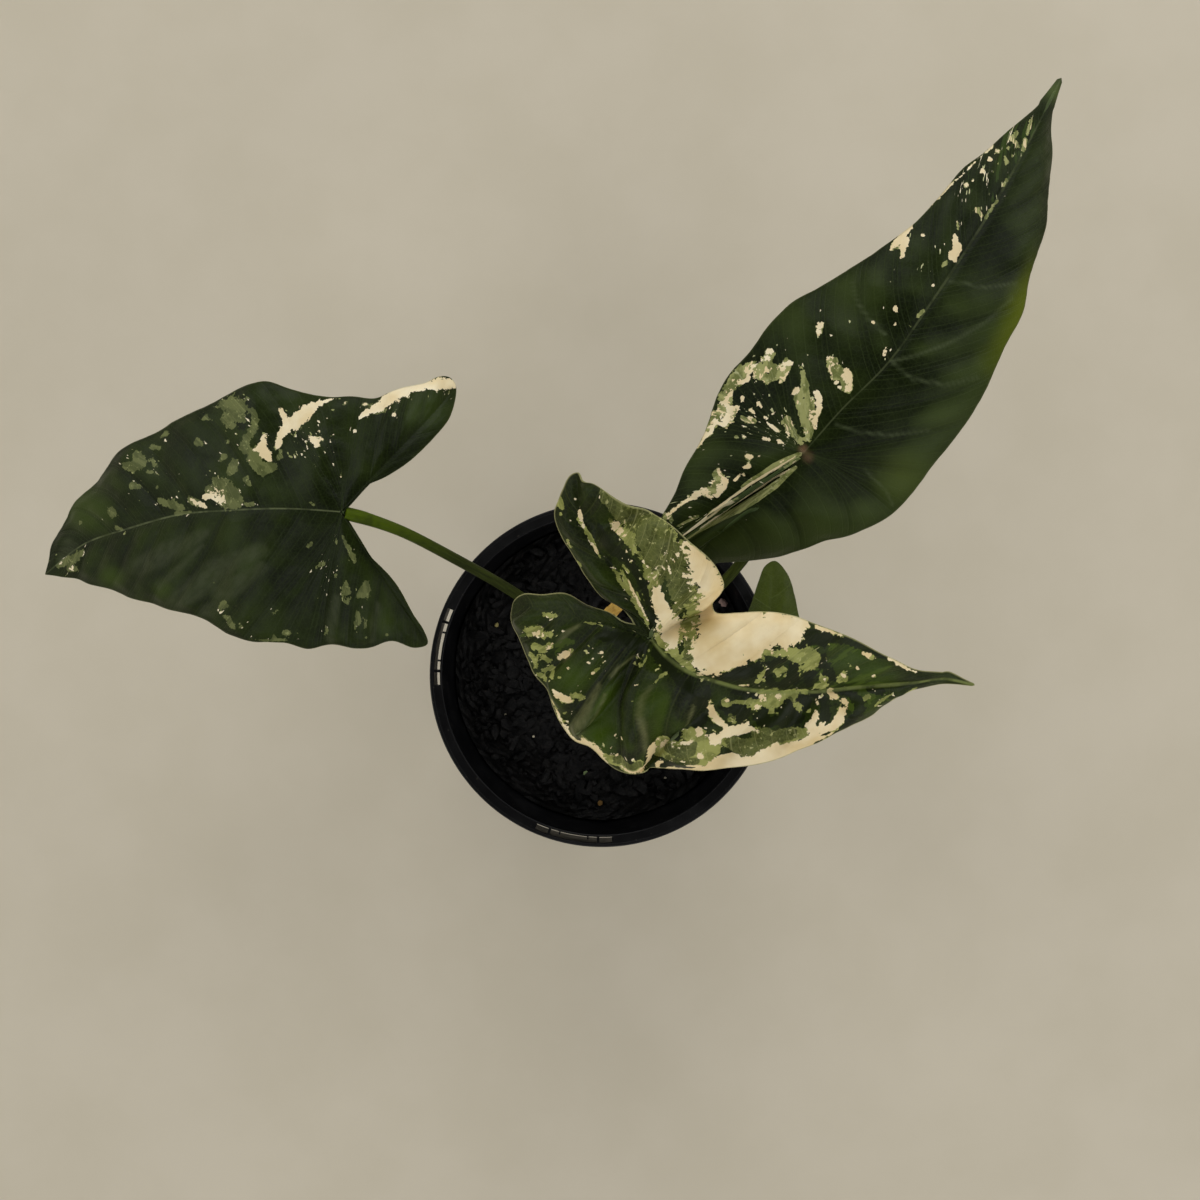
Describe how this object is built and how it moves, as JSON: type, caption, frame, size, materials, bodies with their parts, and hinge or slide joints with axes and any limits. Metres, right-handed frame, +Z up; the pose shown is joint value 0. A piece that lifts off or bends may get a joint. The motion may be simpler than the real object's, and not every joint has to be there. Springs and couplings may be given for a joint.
{
  "type": "potted alocasia",
  "caption": "Young variegated alocasia with arrow-shaped leaves on slim petioles, growing in a round black nursery pot of bark mix.",
  "frame": {"origin": "middle of the pot's underside, on the surface that the pot stands on", "axes": "+Z up through the pot's axis, +Y towards the top of the plan view in the picture, +X to its right"},
  "size_m": [0.26, 0.1925, 0.2341],
  "materials": {
    "pot": "black polypropylene with a soft sheen",
    "mix": "damp dark bark chips and fines",
    "crown": "smooth green leaf sheaths",
    "petiole": "smooth satin olive green",
    "old_petiole": "withered, dull yellow",
    "dark_blade": "satin dark green with grey-green and cream patches",
    "cream_blade": "satin, marbled cream, grey-green and dark green",
    "small_blade": "satin mid green"
  },
  "bodies": {
    "root": {"nursery_pot": "pot", "potting_mix": "mix", "crown": "crown", "petiole_left": "petiole", "blade_left": "dark_blade", "petiole_long": "petiole", "blade_long": "dark_blade", "petiole_cream": "petiole", "blade_cream": "cream_blade", "petiole_small": "petiole", "blade_small": "small_blade", "old_petiole": "old_petiole"}
  },
  "joints": []
}
